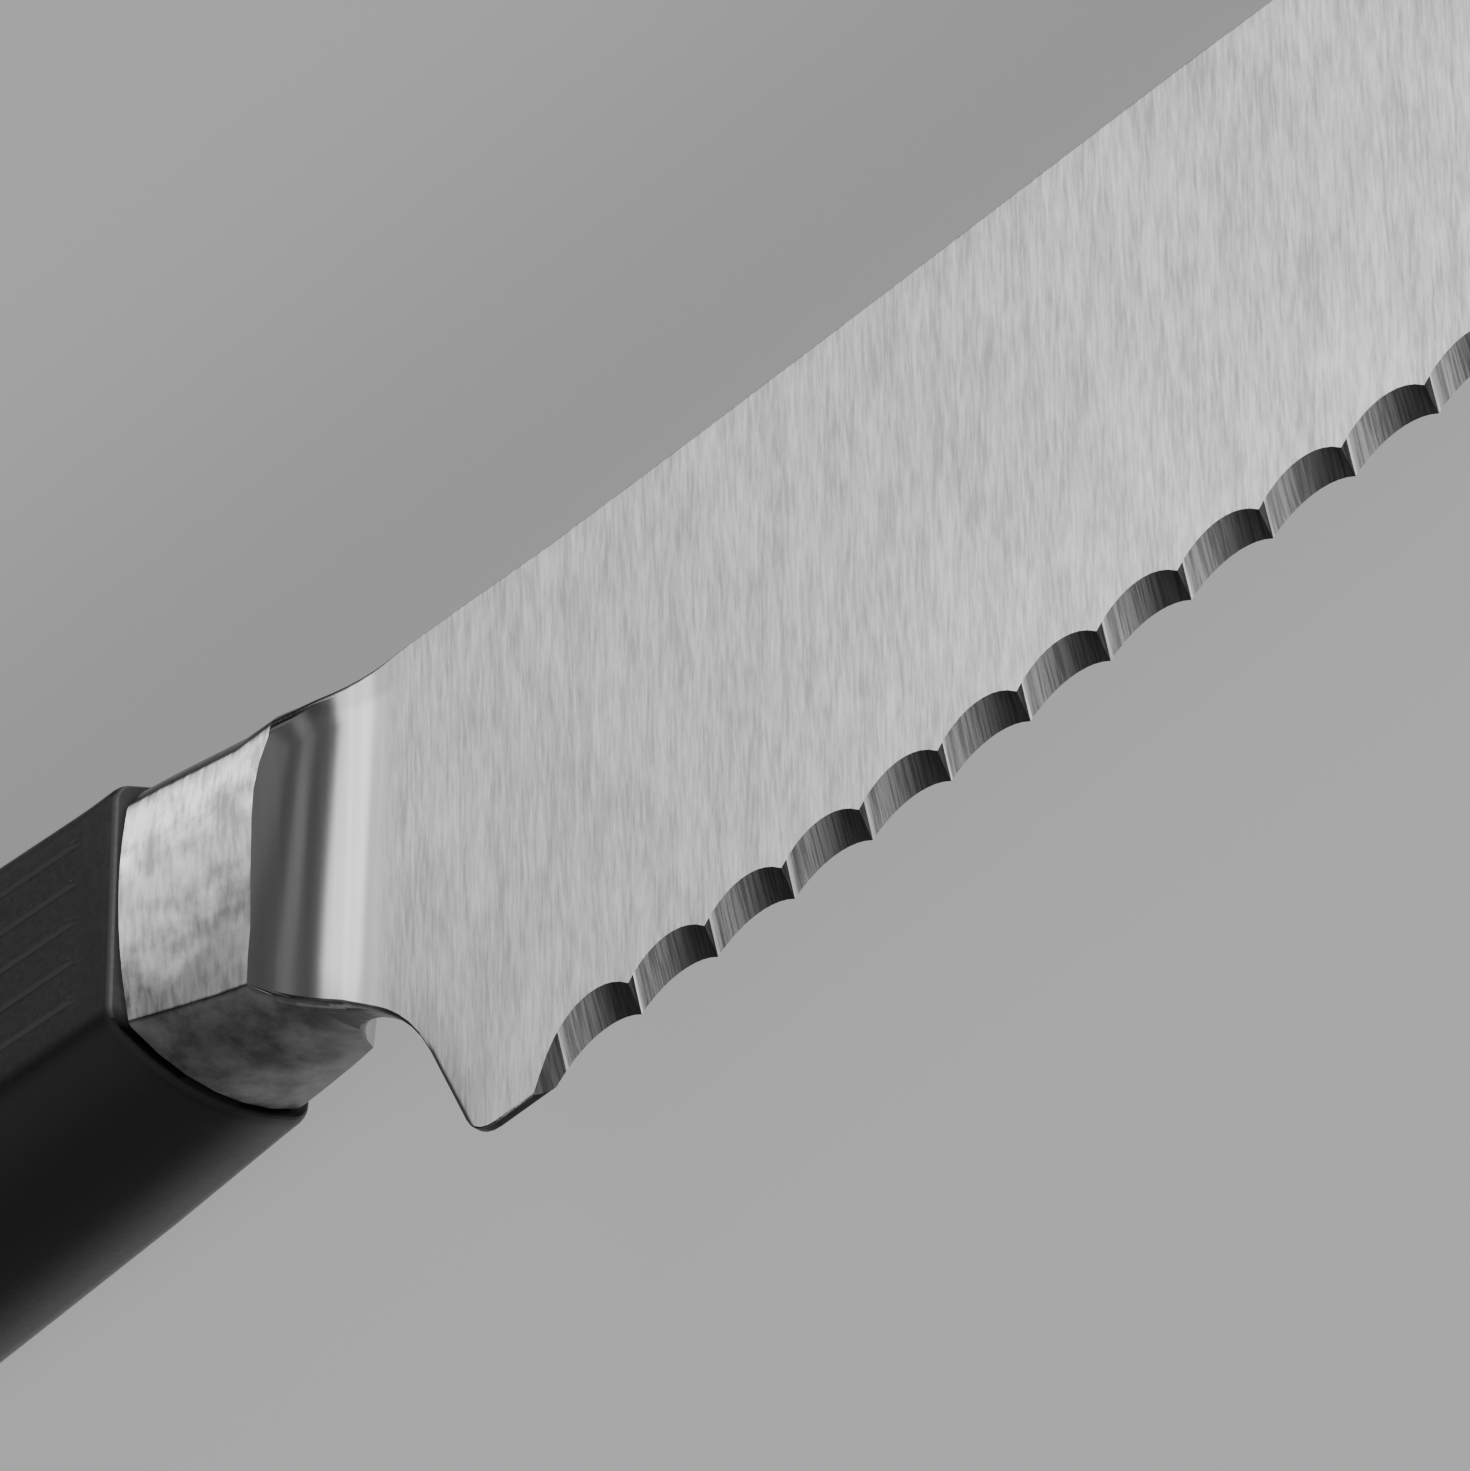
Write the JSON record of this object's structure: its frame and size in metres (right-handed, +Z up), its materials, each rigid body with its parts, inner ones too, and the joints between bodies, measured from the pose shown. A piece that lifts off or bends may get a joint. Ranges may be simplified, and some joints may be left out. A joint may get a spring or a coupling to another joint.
{
  "type": "tomato knife",
  "caption": "Tomato knife with a drop-point blade, scalloped edge ground on one side, full forged bolster and a black moulded handle with fine raised lines.",
  "frame": {"origin": "middle of the bounding box's bottom, on the surface that the knife lies on", "axes": "+X from the handle to the point, +Y towards the spine, +Z up, out of the side that the edge is ground on"},
  "size_m": [0.252, 0.0272, 0.0132],
  "materials": {
    "forged_steel": "satin, brushed across the blade",
    "core_plastic": "plain moulded, hidden",
    "grip_plastic": "fine satin"
  },
  "bodies": {
    "root": {"blade": "forged_steel", "handle_core": "core_plastic", "handle_shell": "grip_plastic"}
  },
  "joints": []
}
